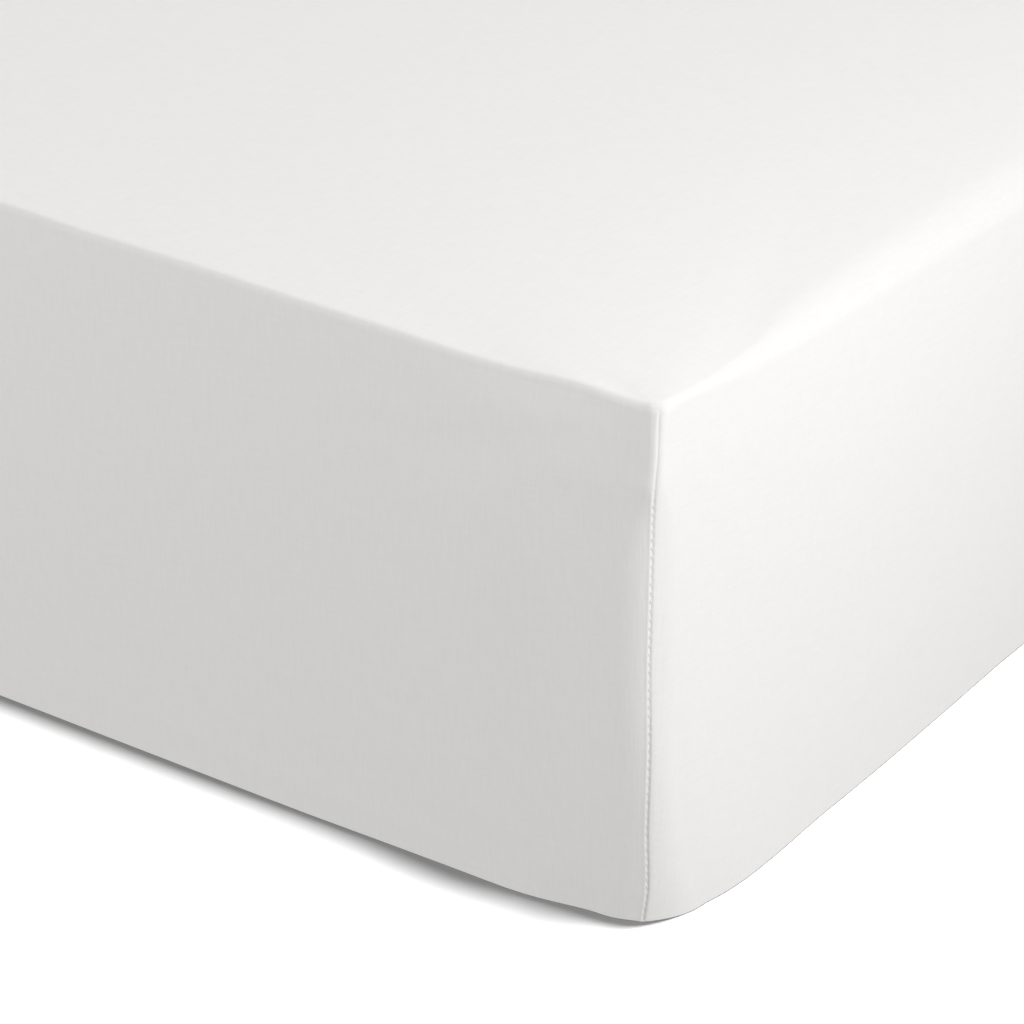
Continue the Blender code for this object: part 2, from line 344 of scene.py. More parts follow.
EDGES = tuple(tuple(Edge(*row) for row in rows) for rows in (
    (  # foot
        (0.0, 0.0, -0.0066), (0.04, -0.0008, -0.0036), (0.22, -0.0004, -0.0025),
        (0.45, 0.0018, -0.0025), (0.6, 0.002, -0.0034), (0.64, 0.0006, -0.0034),
        (0.68, 0.0003, -0.0035), (0.72, -0.0005, -0.0036), (0.76, -0.0013, -0.0038),
        (0.79, -0.0018, -0.0045), (0.81, -0.0024, -0.0049), (0.83, -0.0027, -0.0053),
        (0.85, -0.002, -0.0055), (0.863, -0.001, -0.0058), (0.874, -0.0008, -0.007),
        (0.883, -0.0012, -0.0086), (0.891, -0.0015, -0.0102), (0.897, -0.0014, -0.0112),
        (0.9, -0.0008, -0.0114),
    ),
    (  # right
        (0.0, -0.0008, -0.0024), (0.012, -0.0014, -0.0004, 0.0034, 0.0034),
        (0.03, -0.0026, 0.0006, 0.004, 0.004), (0.06, -0.0032, -0.0002, 0.007, 0.0068),
        (0.08, -0.0027, -0.0012, 0.011, 0.0082), (0.1, -0.002, -0.0015, 0.015, 0.0094),
        (0.14, -0.0013, -0.0025, 0.018, 0.0104), (0.19, -0.0006, -0.0043, 0.02, 0.0114),
        (0.25, -0.0005, -0.0066, 0.021, 0.012), (0.4, -0.0004, -0.0062, 0.022, 0.0125),
        (1.0, -0.0003, -0.0026, 0.021, 0.013), (1.6, 0.0001, -0.0021, 0.019, 0.012),
        (1.82, 0.0003, -0.0011, 0.0156, 0.0098), (1.95, -0.0016, -0.0031, 0.0053, 0.0053),
        (2.0, 0.0, -0.0066),
    ),
    (  # head
        (0.0, 0.0, -0.0056), (0.08, -0.0012, -0.0031), (0.24, 0.001, -0.0022),
        (0.45, 0.0028, -0.0016, 0.004, 0.004), (0.68, 0.0012, -0.0022), (0.83, -0.001, -0.0041),
        (0.9, 0.0, -0.0086),
    ),
    (  # left
        (0.0, 0.0, -0.0032), (0.06, -0.0022, -0.0002, 0.006, 0.006),
        (0.18, 0.0001, -0.0012, 0.0156, 0.0098), (0.42, 0.0, -0.0042, 0.0191, 0.012),
        (1.0, -0.0005, -0.0022, 0.021, 0.013), (1.58, 0.0, -0.0017, 0.0191, 0.012),
        (1.8, 0.0003, -0.0007, 0.0162, 0.0102), (1.94, -0.0016, -0.0017, 0.009, 0.006),
        (2.0, 0.0, -0.0052),
    ),
))
SWELLS = tuple(Swell(*row) for row in (
    (0, 0.842, 0.15, 0.042, 0.085, 0.0022), (0, 0.7, 0.12, 0.1, 0.07, 0.0008),
    (0, 0.55, 0.12, 0.12, 0.07, 0.001), (0, 0.24, 0.11, 0.14, 0.07, -0.0008),
    (0, 0.858, 0.162, 0.028, 0.045, 0.0026), (1, 0.0, 0.115, 0.06, 0.07, -0.002),
    (1, 0.12, 0.15, 0.07, 0.05, 0.0014), (1, 0.36, 0.09, 0.11, 0.06, -0.0012),
    (1, 0.78, 0.12, 0.2, 0.07, 0.001), (1, 1.35, 0.11, 0.21, 0.07, -0.001),
    (1, 1.84, 0.14, 0.08, 0.05, 0.001), (2, 0.12, 0.13, 0.08, 0.06, -0.0012),
    (2, 0.52, 0.11, 0.15, 0.07, 0.001), (3, 0.16, 0.14, 0.09, 0.05, 0.0012),
    (3, 0.66, 0.11, 0.18, 0.07, -0.0012), (3, 1.25, 0.12, 0.2, 0.07, 0.001),
    (3, 1.8, 0.13, 0.09, 0.06, -0.001),
))
CORNER_TAPER = tuple(Taper(*row) for row in (
    (0.0, 0.0048, 0.0001), (0.07, 0.0044, -0.0002), (0.13, 0.005, 0.0003), (0.19, 0.0116, -0.0001),
    (0.25, 0.015, -0.0004), (0.35, 0.016, -0.0005), (0.5, 0.0164, 0.0), (0.61, 0.015, 0.0005),
    (0.7, 0.0144, 0.0015), (0.8, 0.016, 0.0027), (0.92, 0.0214, 0.003), (1.0, 0.0292, 0.0045),
))
CREASES = tuple(Crease(*row) for row in (
    (0, 0.885, 0.205, 0.8, 0.15, 0.006, 0.007, 0.0006),
    (0, 0.88, 0.195, 0.83, 0.11, 0.004, 0.006, 0.0005),
    (0, 0.87, 0.212, 0.76, 0.185, 0.004, 0.006, 0.0005),
    (0, 0.86, 0.02, 0.79, 0.07, 0.006, 0.007, 0.0006),
    (0, 0.845, 0.012, 0.65, 0.022, 0.003, 0.005, 0.00035),
    (1, 0.02, 0.2, 0.07, 0.11, -0.01, 0.007, 0.0004),
    (1, 0.03, 0.208, 0.12, 0.15, -0.012, 0.008, 0.0004),
    (1, 0.06, 0.02, 0.2, 0.06, 0.01, 0.008, 0.0004),
))


class Eased:
    """Smooth curves through the rows of a table, by its first column."""

    def __init__(self, rows: Sequence[NamedTuple]) -> None:
        """Read the table; its rows are in order of their first column."""
        self.names = rows[0]._fields
        self.table = np.array([tuple(row) for row in rows])

    def at(self, places: Array, name: str) -> Array:
        """The values of one column at places along the first."""
        x, y = self.table[:, 0], self.table[:, self.names.index(name)]
        last = np.clip(np.searchsorted(x, places, side="right") - 1, 0, len(x) - 2)
        slope = np.empty_like(y)
        slope[1:-1] = (y[2:] - y[:-2]) / (x[2:] - x[:-2])
        slope[0], slope[-1] = (y[1] - y[0]) / (x[1] - x[0]), (y[-1] - y[-2]) / (x[-1] - x[-2])
        span = x[last + 1] - x[last]
        t = np.clip((places - x[last]) / span, 0.0, 1.0)
        return (
            (2 * t**3 - 3 * t**2 + 1) * y[last]
            + (t**3 - 2 * t**2 + t) * slope[last] * span
            + (3 * t**2 - 2 * t**3) * y[last + 1]
            + (t**3 - t**2) * slope[last + 1] * span
        )


@dataclass
class Columns:
    """The upright columns round the cloth, as arrays in order."""

    side: Array
    along: Array
    arc: Array  # True on a corner
    turn: Array  # share of the corner's quarter turn
    seam: Array  # signed distance kept from the corner seam; nan elsewhere
    seams: list[int]  # number of each corner's seam column

    @property
    def count(self) -> int:
        """How many columns there are."""
        return len(self.side)


@dataclass
class CoverShape:
    """The drawn cloth's surface, worked out from the mattress's size and the tables."""

    width: float = 0.90
    length: float = 2.00
    height: float = 0.2203
    crown: float = 0.005
    crown_power: int = 6
    side_belly: float = 0.005
    end_belly: float = 0.003
    tuck: float = 0.11
    heel: float = 0.0006
    column_radius: float = 0.0076  # corner radius on which the columns are laid out
    corner_spread: float = 0.5
    hem_spread: float = 1.0
    turn_width: float = 0.04  # width of band over which the columns spread over the corner's turn
    fade_width: float = 0.16
    swell_start: float = 0.06  # share of the wall's height above which the swells die away
    hem_fold: float = 0.0011  # height of the turned hem
    hem_lap: float = 0.010
    edges: tuple[Eased, ...] = tuple(Eased(rows) for rows in EDGES)
    taper: Eased = Eased(CORNER_TAPER)

    def lengths(self, side: Any) -> Array:
        """Length of each side, corner to corner."""
        return np.where(side % 2 == 0, self.width, self.length)

    def columns(self, ends: Sequence[float], sides: Sequence[float], seam: Sequence[float],
                rest: int) -> Columns:
        """Lay out the columns round the cloth.

        Args:
            ends: distances from a corner along the foot and head, up to the middle.
            sides: the same along the long sides.
            seam: distances kept from a corner seam, from nearest to furthest, without 0.
            rest: columns from the furthest of those to the end of the corner's round.

        Returns:
            The columns, in order round the cloth.
        """
        half_arc = self.column_radius * math.pi / 4
        kept = [at / half_arc for at in seam]
        far = [kept[-1] + (1 - kept[-1]) * (step + 1) / rest for step in range(rest)]
        half = list(zip(kept + far, list(seam) + [math.nan] * rest))
        table: list[tuple[float, ...]] = []
        seams = []
        for side in range(4):
            length = float(self.lengths(side))
            near = ends if side % 2 == 0 else sides
            for at in sorted({*near, *(round(length - at, 6) for at in near)}):
                table.append((side, at, 0, math.nan, math.nan))
            table += [(side, length, 1, (1 - share) / 2, -away) for share, away in half[::-1]]
            seams.append(len(table))
            table.append((side, length, 1, 0.5, 0.0))
            table += [(side, length, 1, (1 + share) / 2, away) for share, away in half]
        number, along, arc, turn, away = np.array(table, dtype=float).T
        return Columns(number.astype(int), along, arc > 0, turn, away, seams)

    def edge_values(self, side: Array, along: Array, name: str) -> Array:
        """One column of the edge table at places of their own sides."""
        values = np.empty(len(side))
        for number, edge in enumerate(self.edges):
            here = side == number
            values[here] = edge.at(along[here], name)
        return values

    def crown_height(self, x: Array, y: Array) -> Array:
        """Height of the top panel, before its edges' rise or sag."""
        across, along = (1 - np.abs(2 * at / full) ** self.crown_power
                         for at, full in ((x, self.width), (y, self.length)))
        return self.height + self.crown * across * along

    def inset(self, side: Array, along: Array, row: Row) -> Array:
        """How far a row lies inside the full size, at places of their own sides."""
        out = self.edge_values(side, along, "out")
        roll_in = self.edge_values(side, along, "roll_in")
        if row.zone is Zone.CROWN:
            return roll_in + row.at
        if row.zone is Zone.ROLL:
            return roll_in * (1 - math.sin(row.at))
        if row.zone is Zone.WALL:
            height = self.wall_height(side, along, row.at)
            fade = 1 - max(0.0, 1 - row.at / self.swell_start) ** 2
            swell = self.swell(side, along, height) * fade
            return -self.belly(side, along, row.at) - swell - out * row.at**2
        if row.zone is Zone.HEEL:
            foot = self.swell(side, along, np.zeros(len(side)))
            return self.heel * (1 - math.cos(row.at)) - foot - out
        at = self.band_place(row)
        return self.heel + at - out * max(0.0, 1 - at / self.fade_width)

    def wall_height(self, side: Array, along: Array, share: float) -> Array:
        """Height of the wall at each place, a share of the way down from the roll to the heel."""
        rise, down = (self.edge_values(side, along, name) for name in ("rise", "roll_down"))
        return self.heel + (self.height + rise - down - self.heel) * (1 - share)

    def band_place(self, row: Row) -> float:
        """Distance of a band or hem row from the heel."""
        return row.at if row.zone is Zone.BAND else self.tuck - self.heel - row.at

    def plan(self, columns: Columns, row: Row, radius: float, spread: float,
             reach: float = 0.0) -> Array:
        """Plan positions of the columns on a row.

        Args:
            columns: the columns.
            row: the row's zone and place.
            radius: the row's corner radius.
            spread: 0 keeps columns at their distance from the seam, 1 spreads them over the turn.
            reach: distance inside the cloth's outer face.

        Returns:
            A position for each column.
        """
        side, along = columns.side, columns.along
        length, other = self.lengths(side), self.lengths(side + 1)
        ahead, out = side_ways(side)
        own = self.inset(side, along, row) + reach
        after = self.inset((side + 1) % 4, np.zeros(columns.count), row) + reach
        before = self.inset((side - 1) % 4, other, row) + reach
        radius = radius - reach
        half_out = other / 2 - own
        start, end = length / 2 - before - radius, length / 2 - after - radius
        way_along = along / length * (start + end) - start
        straight = out * half_out[:, None] + ahead * way_along[:, None]
        angle = self._angles(columns, radius, spread, self.lean(row))[:, None]
        way = out * np.cos(angle) + ahead * np.sin(angle)
        centre = out * (half_out - radius)[:, None] + ahead * end[:, None]
        return np.where(columns.arc[:, None], centre + way * radius, straight)

    def lean(self, row: Row) -> float:
        """How far the seams lie off the middle of their corners on a row, to the side before."""
        if row.zone in (Zone.CROWN, Zone.ROLL):
            return 0.0
        share = row.at if row.zone is Zone.WALL else 1.0
        return float(self.taper.at(np.array([share]), "lean")[0])

    def _angles(self, columns: Columns, radius: float, spread: float, lean: float) -> Array:
        """Angle of each corner column from its first side's outward way; 0 on the straights."""
        half = math.pi / 4
        even = np.nan_to_num(columns.turn) * math.pi / 2 - half
        free = np.isnan(columns.seam)
        kept = np.minimum(np.abs(columns.seam) / radius, np.abs(even))
        last = np.nanmax(np.where(free, np.nan, kept))
        last_even = np.nanmax(np.where(free, np.nan, np.abs(even)))
        beyond = last + (np.abs(even) - last_even) / (half - last_even) * (half - last)
        fixed = np.where(free, beyond, kept) * np.sign(even)
        angle = fixed * (1 - spread) + even * spread
        off = lean / radius * (1 - np.abs(angle) / half)
        return np.where(columns.arc, angle + half - off, 0.0)

    def belly(self, side: Array, along: Array, share: float) -> Array:
        """How far the skirts' middles stand out at a share of the wall's height."""
        full = np.where(side % 2 == 0, self.end_belly, self.side_belly)
        middle = along / (self.lengths(side) / 2) - 1
        return full * (1 - middle**4) * 4 * share * (1 - share)

    @staticmethod
    def swell(side: Array, along: Array, height: Array) -> Array:
        """How far the broad swells push the skirts out at each place and height."""
        total = np.zeros(len(side))
        for swell in SWELLS:
            across = (along - swell.along) / swell.half_along
            up = (height - swell.height) / swell.half_high
            total += np.where(side == swell.side, swell.proud * np.exp(-(across**2) - up**2), 0.0)
        return total

    def soft_rise(self, columns: Columns, reach: float) -> Array:
        """The edge's rise as the top panel shows it `reach` inside, evened out along the edge."""
        side, zero = columns.side, np.zeros(columns.count)
        length = self.lengths(side)
        steps = np.linspace(-2, 2, 13) * reach
        own = [self.edge_values(side, np.clip(columns.along + step, 0, length), "rise")
               for step in steps]
        beyond = [self.edge_values((side + 1) % 4, zero + max(step, 0.0), "rise") for step in steps]
        turn = np.nan_to_num(columns.turn)
        return np.mean(own, axis=0) * (1 - turn) + np.mean(beyond, axis=0) * turn

    def ring(self, columns: Columns, row: Row, skin: float = 0.0) -> Array:
        """Points of one ring round the cloth.

        Args:
            columns: the columns.
            row: the ring's zone and place.
            skin: distance inside the cloth's outer face.

        Returns:
            One point for each column.
        """
        side, along = columns.side, columns.along
        corner, foot_radius = EDGES[0][0], CORNER_TAPER[-1].radius
        start_radius = CORNER_TAPER[0].radius - corner.roll_in
        spread = 0.0
        if row.zone is Zone.CROWN:
            fade = max(0.0, 1 - row.at / self.fade_width) ** 2
            tilt, spread = 0.0, 1.0
            radius = start_radius + self.corner_spread * row.at
            place = self.plan(columns, row, radius, spread)
            height = self.crown_height(*place.T) + self.soft_rise(columns, row.at) * fade
        elif row.zone is Zone.ROLL:
            tilt = row.at
            radius = start_radius + corner.roll_in * math.sin(row.at)
            start = self.plan(columns, Row(Zone.CROWN, 0.0), start_radius, 1.0)
            rise = self.edge_values(side, along, "rise")
            drop = self.edge_values(side, along, "roll_down") * (1 - math.cos(row.at))
            height = self.crown_height(*start.T) + rise - drop
        elif row.zone is Zone.WALL:
            tilt = math.pi / 2
            height = self.wall_height(side, along, row.at)
            radius = float(self.taper.at(np.array([row.at]), "radius")[0])
        elif row.zone is Zone.HEEL:
            tilt = math.pi / 2 + row.at
            height = np.full(columns.count, self.heel * (1 - math.sin(row.at)))
            radius = foot_radius - self.heel * (1 - math.cos(row.at))
        else:
            at = self.band_place(row)
            tilt, spread = math.pi, min(1.0, at / self.turn_width)
            height = np.zeros(columns.count)
            radius = foot_radius - self.heel + self.hem_spread * at
        place = self.plan(columns, row, radius, spread, skin * math.sin(tilt))
        return np.column_stack([place, height - skin * math.cos(tilt)])


# ---- meshes ----
def smooth_mesh(name: str, points: Array, faces: Array, loops_uv: Array | None,
                material: Material) -> Object:
    """Make a smooth-shaded object.

    Args:
        name: the object's name.
        points: the vertices.
        faces: four vertex numbers for each face.
        loops_uv: the cloth map, four places for each face.
        material: its material.

    Returns:
        The object, linked to the scene.
    """
    mesh = bpy.data.meshes.new(name)
    mesh.from_pydata(points.tolist(), [], faces.tolist())
    if loops_uv is not None:
        layer = mesh.uv_layers.new(name="cloth")
        layer.data.foreach_set("uv", loops_uv.astype(np.float32).ravel())
    mesh.shade_smooth()
    mesh.materials.append(material)
    return add_object(name, mesh)


def quads(grid: Array) -> Array:
    """The four corners of each cell of a grid, one entry for each cell."""
    cells = np.stack([grid[:-1, :-1], grid[1:, :-1], grid[1:, 1:], grid[:-1, 1:]], 2)
    return cells.reshape(-1, *cells.shape[2:])


def blended_grid(south: Array, east: Array, north: Array, west: Array) -> Array:
    """Fill a four-sided loop with a grid of points.

    Args:
        south: points of the first side, west to east.
        east: points of the second side, south to north.
        north: points of the third side, west to east.
        west: points of the fourth side, south to north.

    Returns:
        The grid, [across, along, xyz], with the sides as its borders.
    """
    u = np.linspace(0, 1, len(south))[:, None, None]
    v = np.linspace(0, 1, len(east))[None, :, None]
    grid = (west[None] * (1 - u) + east[None] * u + south[:, None] * (1 - v) + north[:, None] * v
            - south[0] * (1 - u) * (1 - v) - south[-1] * u * (1 - v)
            - north[0] * (1 - u) * v - north[-1] * u * v)
    grid[:, 0], grid[:, -1], grid[0], grid[-1] = south, north, west, east
    return grid


@dataclass
class RingSkin:
    """A surface of rings from the middle of the top downwards, with its cloth map."""

    shape: CoverShape
    columns: Columns
    rings: Array  # [row, column, xyz]
    crown_rows: int  # how many of the rings lie on the flat top

    def numbers(self, side: int) -> Array:
        """Numbers of the columns from one corner seam to the next, along a side."""
        start, end = self.columns.seams[side - 1], self.columns.seams[side]
        count = self.columns.count
        return np.arange(start, end + (count if end < start else 0) + 1) % count

    def side_map(self, side: int) -> Array:
        """The cloth map of one side's rings, unfolded flat from the top: [row, column, 2]."""
        points = self.rings[:, self.numbers(side)]
        ahead, out = side_ways(side)
        steps = np.linalg.norm(np.diff(points, axis=0), axis=2)
        steps[: self.crown_rows] = 0.0
        down = np.vstack([np.zeros(points.shape[1]), np.cumsum(steps, axis=0)])
        sideways = np.linalg.norm(np.diff(points, axis=1), axis=2)
        run = np.concatenate([np.zeros((len(points), 1)), np.cumsum(sideways, axis=1)], axis=1)
        middle = points.shape[1] // 2
        centre = slice(middle, middle + 1)
        run = run - run[:, centre] + (points[:, centre, :2] @ ahead)
        flat = points[self.crown_rows, :, :2] @ out
        place = run[:, :, None] * ahead + (flat + down)[:, :, None] * out
        place[: self.crown_rows + 1] = points[: self.crown_rows + 1, :, :2]
        return place

    def build(self, name: str, material: Material, bottom: bool) -> Object:
        """Make the object.

        Args:
            name: the object's name.
            material: its material.
            bottom: whether the last ring is filled as well, with a flat grid.

        Returns:
            The object.
        """
        rows = np.arange(len(self.rings))[:, None] * self.columns.count
        points = self.rings.reshape(-1, 3)
        faces = [quads(rows + self.numbers(side)) for side in range(4)]
        maps = [quads(self.side_map(side)) for side in range(4)]
        for ring in (0, len(self.rings) - 1)[: 2 if bottom else 1]:
            grid, added = self._panel(ring, len(points))
            points = np.concatenate([points, added])
            faces.append(quads(grid)[:, ::-1] if ring else quads(grid))
            maps.append(points[faces[-1]][:, :, :2])
        return smooth_mesh(name, points, np.concatenate(faces), np.concatenate(maps), material)

    def _panel(self, ring: int, start: int) -> tuple[Array, Array]:
        """Fill one ring with a grid.

        Args:
            ring: the ring's number.
            start: number of the first new vertex.

        Returns:
            Vertex numbers of the grid, and the new vertices inside it.
        """
        south, east = self.numbers(0), self.numbers(1)
        north, west = self.numbers(2)[::-1], self.numbers(3)[::-1]
        loop = self.rings[ring]
        grid = blended_grid(loop[south], loop[east], loop[north], loop[west])
        inner = grid[1:-1, 1:-1]
        if ring == 0:
            drop = loop[:, 2] - self.shape.crown_height(loop[:, 0], loop[:, 1])
            inner[..., 2] = self.shape.crown_height(inner[..., 0], inner[..., 1]) + drop.mean()
        numbers = np.empty(grid.shape[:2], dtype=int)
        base = ring * self.columns.count
        numbers[:, 0], numbers[:, -1] = base + south, base + north
        numbers[0], numbers[-1] = base + west, base + east
        numbers[1:-1, 1:-1] = start + np.arange(inner[..., 0].size).reshape(inner.shape[:2])
        return numbers, inner.reshape(-1, 3)


# ---- the sheet ----
NEAR_CORNER = (0.002, 0.004, 0.007, 0.010, 0.014, 0.019, 0.025, 0.032, 0.040, 0.050)


class GuideLine(NamedTuple):
    """A line that stitches follow, with the cloth's outward way at its points."""

    points: Array
    ways: Array
    closed: bool


class Hump(NamedTuple):
    """A rounded ridge along a seam: place of its middle, half width and height."""

    middle: float
    half: float
    high: float

    def at(self, offset: Array) -> Array:
        """Its height at distances from the seam."""
        return self.high * np.exp(-(((offset - self.middle) / self.half) ** 2))


@dataclass(frozen=True)
class SeamForm:
    """A corner seam's relief; distances are from the sewing, above 0 on its second side."""

    peak: float = 0.0007  # how far the seam draws the cloth out of the corner's round
    peak_steep: float = 0.0065  # width of that draw on its steeper and its softer side
    peak_soft: float = 0.0125
    first_lip: Hump = Hump(-0.0009, 0.0004, 0.000192)  # the lips on both sides of the sewing
    second_lip: Hump = Hump(0.0011, 0.0004, 0.00012)
    groove: Hump = Hump(0.00015, 0.0004, 0.0008)
    groove_gain: float = 0.4  # how much deeper the groove gets low down
    ridge: Hump = Hump(-0.0021, 0.0015, 0.00012)  # the ear: the fold at the seam's top
    valley: Hump = Hump(-0.0042, 0.0012, 0.00006)
    fold: Hump = Hump(0.0002, 0.0005, 0.00034)  # the crease behind the ear
    ear_length: float = 0.031
    ear_end: float = 0.006  # length over which it dies away
    ear_first: float = 0.4  # its strength at the very top
    ear_growth: float = 0.012  # length over which it would grow from nothing
    ear_ease: float = 0.012  # how much softer the second side is there
    knot: Hump = Hump(-0.0045, 0.003, 0.0005)  # where the ear ends
    knot_half: float = 0.004
    lap: float = 0.0001  # the seam allowance pressed under the second side
    lap_from: float = 0.0010
    lap_to: float = 0.0036
    lap_rise: float = 0.0008
    lap_fall: float = 0.001
    pucker: float = -0.0001  # how the lap changes with the stitches

    def relief(self, offset: Array, down: Array, deep: Array, beat: Array) -> Array:
        """How far the cloth stands out near the seam.

        Args:
            offset: distance from the sewing, [row, column].
            down: distance down the seam from its top, as a column.
            deep: 0 on the upper wall to 1 on the lowest, as a column.
            beat: the sewing's rhythm, 1 at a stitch, as a column.

        Returns:
            Heights [row, column].
        """
        ear = smooth_step(1 - (down - self.ear_length) / self.ear_end)
        grown = np.clip(self.ear_first + down / self.ear_growth, 0, 1)
        ending = np.exp(-(((down - self.ear_length) / self.knot_half) ** 2))
        between = 0.5 - 0.5 * beat
        low = deep * (self.peak_soft - self.peak_steep)
        width = np.where(offset < 0, self.peak_soft - low,
                         self.peak_steep + low + ear * self.ear_ease)
        peak = np.clip(1 - np.abs(offset) / width, 0, 1) ** 2 * self.peak
        lips = self.first_lip.at(offset) + self.second_lip.at(offset) * between
        ditch = self.groove.at(offset) * between * (1 + self.groove_gain * deep)
        raised = self.ridge.at(offset) - self.valley.at(offset) - self.fold.at(offset)
        pressed = (np.clip((offset - self.lap_from) / self.lap_rise, 0, 1)
                   * np.clip((self.lap_to - offset) / self.lap_fall, 0, 1))
        return (peak + (lips - ditch) * (1 - ear) + raised * ear * grown
                + self.knot.at(offset) * ending
                + pressed * (self.lap + self.pucker * beat * (1 - ear)))


@dataclass
class SheetCloth:
    """The fitted sheet: one cloth with its corner seams, tension lines and turned hem."""

    shape: CoverShape
    finish: WovenFinish = COTTON
    seam: SeamForm = SeamForm()
    wall_rows: int = 180
    stitch_rows: int = 3  # rings to each stitch, so that the seam's dents keep step with the sewing
    seam_reach: int = 20  # columns on each side of a seam that its relief may shape
    low_from: float = 0.45  # share of the wall's height at which its lower part begins
    low_over: float = 0.3
    roll_seam: float = math.radians(30)  # where on the roll the seam's relief begins
    heel_fade: float = 0.6  # share of it that is gone at the end of the heel
    hem_line: float = 0.0965  # the hem's stitching, from the heel
    hem_line_half: float = 0.0006
    hem_groove: float = 0.0003
    hem_end: float = 0.004  # place of the ring behind the hem's fold
    seam_lines: list[GuideLine] = field(default_factory=list)
    hem_lines: list[GuideLine] = field(default_factory=list)
    ends: tuple[float, ...] = NEAR_CORNER + (
        0.062, 0.075, 0.09, 0.105, 0.122, 0.14, 0.16, 0.182, 0.205, 0.23, 0.258, 0.288, 0.32,
        0.355, 0.4, 0.45,
    )
    sides: tuple[float, ...] = NEAR_CORNER + (
        0.06, 0.072, 0.085, 0.098, 0.112, 0.127, 0.143, 0.16, 0.178, 0.197, 0.217, 0.238, 0.26,
        0.285, 0.315, 0.35, 0.39, 0.44, 0.5, 0.57, 0.65, 0.74, 0.86, 1.0,
    )
    seam_columns: tuple[float, ...] = (
        0.0003, 0.0006, 0.0009, 0.0012, 0.0016, 0.0022, 0.0030, 0.0040, 0.0050,
    )
    rest: int = 6  # columns from those to the end of the corner's round
    crown: tuple[float, ...] = (0.22, 0.19, 0.165, 0.14, 0.12, 0.10, 0.085, 0.07, 0.058, 0.047,
                                0.037, 0.028, 0.02, 0.013, 0.008, 0.004, 0.0015)
    band: tuple[float, ...] = (0.004, 0.01, 0.018, 0.028, 0.038, 0.048, 0.058, 0.068, 0.078, 0.088)

    def __post_init__(self) -> None:
        """Lay out the columns, and the rings from the middle of the top to the end of the hem."""
        self.columns = self.shape.columns(self.ends, self.sides, self.seam_columns, self.rest)
        line, half = self.hem_line, self.hem_line_half
        band = self.band + (line - half, line, line + half, self.shape.tuck - self.shape.heel)
        self.rows = (
            [Row(Zone.CROWN, at) for at in self.crown]
            + [Row(Zone.ROLL, math.radians(at)) for at in range(0, 91, 9)]
            + [Row(Zone.WALL, (step + 1) / self.wall_rows) for step in range(self.wall_rows)]
            + [Row(Zone.HEEL, math.radians(at)) for at in range(15, 91, 15)]
            + [Row(Zone.BAND, at) for at in band]
        )

    def build(self) -> Object:
        """Model the cloth and keep the lines that its stitches follow."""
        rings = np.stack([self.shape.ring(self.columns, row) for row in self.rows])
        normals = self._normals(rings)
        relief = self._seam_relief(rings) + self._crease_relief(rings)
        rings = rings + normals * relief[:, :, None]
        rings[:, :, 2] = np.maximum(rings[:, :, 2], 0.0)
        hem = self.rows.index(Row(Zone.BAND, self.hem_line))
        rings[hem, :, 2] = self.hem_groove
        down = np.broadcast_to((0.0, 0.0, -1.0), (self.columns.count, 3))
        self.hem_lines.append(GuideLine(rings[hem], down, True))
        self._keep_seams(rings, normals)
        rings = np.concatenate([rings, self._hem()])
        skin = RingSkin(self.shape, self.columns, rings, len(self.crown))
        return skin.build("sheet_cloth", self.finish.build(), bottom=False)

    def dress(self, piece: Object) -> None:
        """Let the cloth ride on the body and stand for its solid."""
        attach(piece, "root")
        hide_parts("fitted_sheet")

    def _keep_seams(self, rings: Array, normals: Array) -> None:
        """Keep the corner seams' lines, from where their ears end, with their outward ways."""
        wall = [number for number, row in enumerate(self.rows) if row.zone is Zone.WALL]
        stitched = wall[self.stitch_rows - 1 :: self.stitch_rows]
        for seam in self.columns.seams:
            points, ways = rings[stitched, seam], normals[stitched, seam]
            start = int(np.argmax(points[0, 2] - points[:, 2] > self.seam.ear_length))
            self.seam_lines.append(GuideLine(points[start:-1], ways[start:-1], False))

    @staticmethod
    def _normals(rings: Array) -> Array:
        """Outward unit normals of the rings' points."""
        down = np.gradient(rings, axis=0)
        around = np.roll(rings, -1, axis=1) - np.roll(rings, 1, axis=1)
        normal = np.cross(down, around)
        return normal / np.maximum(np.linalg.norm(normal, axis=2, keepdims=True), 1e-12)

    def _seam_relief(self, rings: Array) -> Array:
        """Relief of the corner seams, [row, column]."""
        relief = np.zeros(rings.shape[:2])
        weight = np.array([self._seam_weight(row) for row in self.rows])
        beat, deep = self._beat(), self._lowness()
        reach = self.seam_reach
        for seam in self.columns.seams:
            near = np.arange(seam - reach, seam + reach + 1) % self.columns.count
            path = rings[:, seam]
            steps = np.linalg.norm(np.diff(path, axis=0), axis=1)
            steps[weight[1:] == 0] = 0.0
            down = np.concatenate([[0.0], np.cumsum(steps)])[:, None]
            offset = np.linalg.norm(rings[:, near] - path[:, None], axis=2)
            offset[:, :reach] *= -1
            relief[:, near] += weight[:, None] * self.seam.relief(offset, down, deep, beat)
        return relief

    def _lowness(self) -> Array:
        """How far down each row lies: 0 down to the wall's middle, 1 in its lowest part."""
        share = np.array([row.at if row.zone is Zone.WALL else float(row.zone is Zone.HEEL)
                          for row in self.rows])
        return smooth_step((share - self.low_from) / self.low_over)[:, None]

    def _beat(self) -> Array:
        """The sewing's rhythm down the wall: 1 at a stitch, less between two stitches."""
        steps = np.array([row.at * self.wall_rows if row.zone is Zone.WALL else 0.0
                          for row in self.rows])
        return np.cos(2 * math.pi * steps / self.stitch_rows)[:, None]

